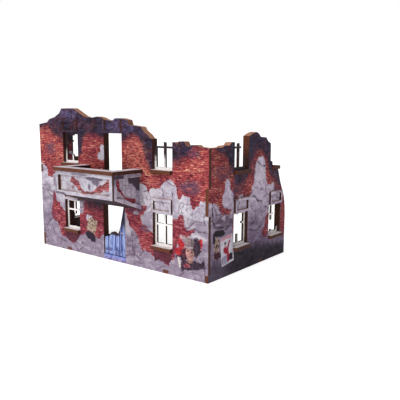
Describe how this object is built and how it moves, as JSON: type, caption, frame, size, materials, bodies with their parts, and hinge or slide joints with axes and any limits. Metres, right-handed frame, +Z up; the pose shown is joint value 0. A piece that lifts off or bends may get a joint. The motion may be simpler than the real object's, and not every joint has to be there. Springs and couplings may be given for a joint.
{
  "type": "miniature terrain ruin",
  "caption": "Ruined two-storey corner building for tabletop games: slotted printed boards, balcony, broken windows and a hinged broken door, open at the back.",
  "frame": {"origin": "bottom centre of the whole part's box, on the surface that it stands on", "axes": "+X along the front wall to the right as seen from the front, +Y from the front wall towards the open back, +Z up"},
  "size_m": [0.175, 0.128, 0.1108],
  "materials": {
    "wall_print": "printed brick, plaster and soot over brown fibreboard, satin",
    "lintel_print": "printed plaster with brown cut edges, satin",
    "balcony_print": "printed cracked plaster and brick with brown cut edges, satin",
    "sill_print": "printed pale plaster on top, bare brown cut edges, satin",
    "white_frame_print": "printed weathered white paint with brown cut edges, satin",
    "floor_print": "printed dark floorboards with brown cut edges, satin",
    "blue_door_print": "printed weathered blue planks with brown cut edges, satin",
    "brass_wire": "drawn wire, dull"
  },
  "bodies": {
    "building": {"balcony_floor": "floor_print", "balcony_front_frame": "balcony_print", "balcony_front_panel": "balcony_print", "balcony_left_frame": "balcony_print", "balcony_left_panel": "balcony_print", "balcony_rail_cap": "sill_print", "balcony_right_frame": "balcony_print", "balcony_right_panel": "balcony_print", "balcony_soffit": "balcony_print", "frame_front_left_lower": "white_frame_print", "frame_front_left_upper": "white_frame_print", "frame_front_right_lower": "white_frame_print", "frame_front_right_upper": "white_frame_print", "frame_left_lower": "white_frame_print", "frame_left_upper": "white_frame_print", "frame_right_far_lower": "white_frame_print", "frame_right_near_lower": "white_frame_print", "frame_right_near_upper": "white_frame_print", "front_wall_inner": "wall_print", "front_wall_outer": "wall_print", "ground_floor": "floor_print", "left_wall_inner": "wall_print", "left_wall_outer": "wall_print", "lintel_balcony_door": "lintel_print", "lintel_front_left_lower": "lintel_print", "lintel_front_left_upper": "lintel_print", "lintel_front_right_lower": "lintel_print", "lintel_left_lower": "lintel_print", "lintel_right_far_lower": "lintel_print", "lintel_right_near_lower": "lintel_print", "right_wall_inner": "wall_print", "right_wall_outer": "wall_print", "sill_front_left_lower": "sill_print", "sill_front_left_upper": "sill_print", "sill_front_right_lower": "sill_print", "sill_front_right_upper": "sill_print", "sill_left_lower": "sill_print", "sill_left_upper": "sill_print", "sill_right_far_lower": "sill_print", "sill_right_far_upper": "sill_print", "sill_right_near_lower": "sill_print", "sill_right_near_upper": "sill_print", "upper_floor": "floor_print"},
    "door": {"door_leaf": "blue_door_print", "door_pin_lower": "brass_wire", "door_pin_upper": "brass_wire"}
  },
  "joints": [
    {"name": "door_hinge", "type": "hinge", "parent": "building", "child": "door", "pos_m": [0.0101, -0.0348, 0.0225], "axis": [0, 0, 1], "range_deg": [-90, 90]}
  ]
}
